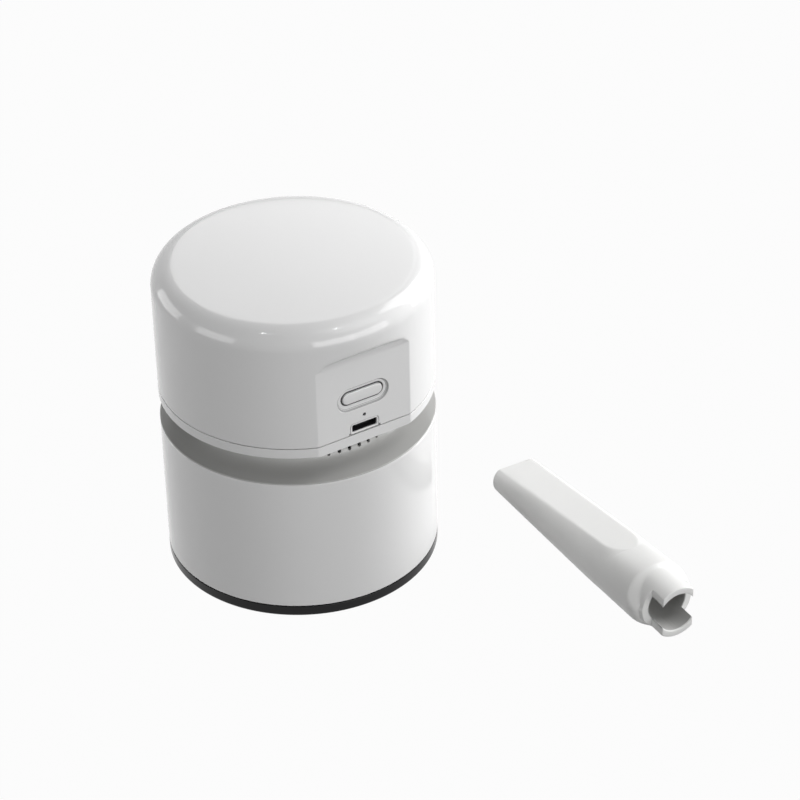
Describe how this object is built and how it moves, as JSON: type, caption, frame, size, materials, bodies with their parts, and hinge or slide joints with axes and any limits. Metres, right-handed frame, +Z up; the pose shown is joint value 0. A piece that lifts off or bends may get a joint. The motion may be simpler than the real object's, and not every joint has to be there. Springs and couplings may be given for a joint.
{
  "type": "desktop mini vacuum cleaner",
  "caption": "Round cordless desktop vacuum in white gloss plastic with a grey waist, a flat control panel with a pill button and charging port, and a separate flat crevice nozzle beside it.",
  "frame": {"origin": "on the table, under the middle of the box round the housing and the nozzle together", "axes": "+Z up; -Y is the way the control panel faces; the nozzle lies on the +X side and points along Y"},
  "size_m": [0.1146, 0.1422, 0.0971],
  "materials": {
    "white_plastic": "gloss",
    "grey_plastic": "satin",
    "satin_white_plastic": "satin",
    "black_plastic": "gloss",
    "rubber": "matte",
    "steel": "brushed",
    "board_green": "satin",
    "filter_paper": "matte",
    "cell_sleeve": "gloss",
    "copper": "polished",
    "lens": "gloss",
    "bristle": "matte",
    "wire_red": "satin",
    "wire_black": "satin"
  },
  "bodies": {
    "base": {"base_plate": "black_plastic", "dust_cup": "white_plastic", "suction_duct": "grey_plastic", "foot_1": "rubber", "foot_2": "rubber", "foot_3": "rubber", "base_screw_1": "steel", "base_screw_2": "steel", "base_screw_3": "steel", "brush_front": "bristle", "brush_rear": "bristle"},
    "head": {"top_cap": "white_plastic", "head_plate": "white_plastic", "port_bezel": "white_plastic", "neck_collar": "grey_plastic", "fan_housing": "grey_plastic", "battery_cradle": "grey_plastic", "tact_switch": "black_plastic", "motor_endcap": "black_plastic", "motor_magnet_left": "black_plastic", "motor_magnet_right": "black_plastic", "cup_seal": "rubber", "motor_gasket": "rubber", "motor_can": "steel", "charging_socket": "steel", "cap_screw_1": "steel", "cap_screw_2": "steel", "cap_screw_3": "steel", "cap_screw_4": "steel", "fan_screw_1": "steel", "fan_screw_2": "steel", "fan_screw_3": "steel", "circuit_board": "board_green", "battery_cell": "cell_sleeve", "status_light": "lens", "battery_wire_red": "wire_red", "motor_wire_red": "wire_red", "battery_wire_black": "wire_black", "motor_wire_black": "wire_black"},
    "rotor": {"impeller": "satin_white_plastic", "armature": "copper", "motor_shaft": "steel"},
    "filter": {"filter_cage": "satin_white_plastic", "filter_cloth": "filter_paper"},
    "button": {"power_button": "white_plastic"},
    "plunger": {"switch_plunger": "black_plastic"},
    "nozzle": {"crevice_nozzle": "satin_white_plastic"}
  },
  "joints": [
    {"name": "head_lift", "type": "slide", "parent": "base", "child": "head", "axis": [0, 0, 1], "range_m": [0, 0.06]},
    {"name": "filter_pull", "type": "slide", "parent": "head", "child": "filter", "axis": [0, 0, -1], "range_m": [0, 0.01]},
    {"name": "rotor_spin", "type": "hinge", "parent": "head", "child": "rotor", "pos_m": [-0.01727, 0.03112, 0.06], "axis": [0, 0, 1], "continuous": true},
    {"name": "button_press", "type": "slide", "parent": "head", "child": "button", "axis": [0, 1, 0], "range_m": [0, 0.0004], "stiffness_N_per_m": 400},
    {"name": "plunger_press", "type": "slide", "parent": "head", "child": "plunger", "axis": [0, 1, 0], "range_m": [0, 0.0004]},
    {"name": "nozzle_lift", "type": "slide", "parent": "base", "child": "nozzle", "axis": [0, 0, 1], "range_m": [0, 0.06]}
  ],
  "couplings": [
    {"joint": "plunger_press", "follows": "button_press", "ratio": 1}
  ]
}
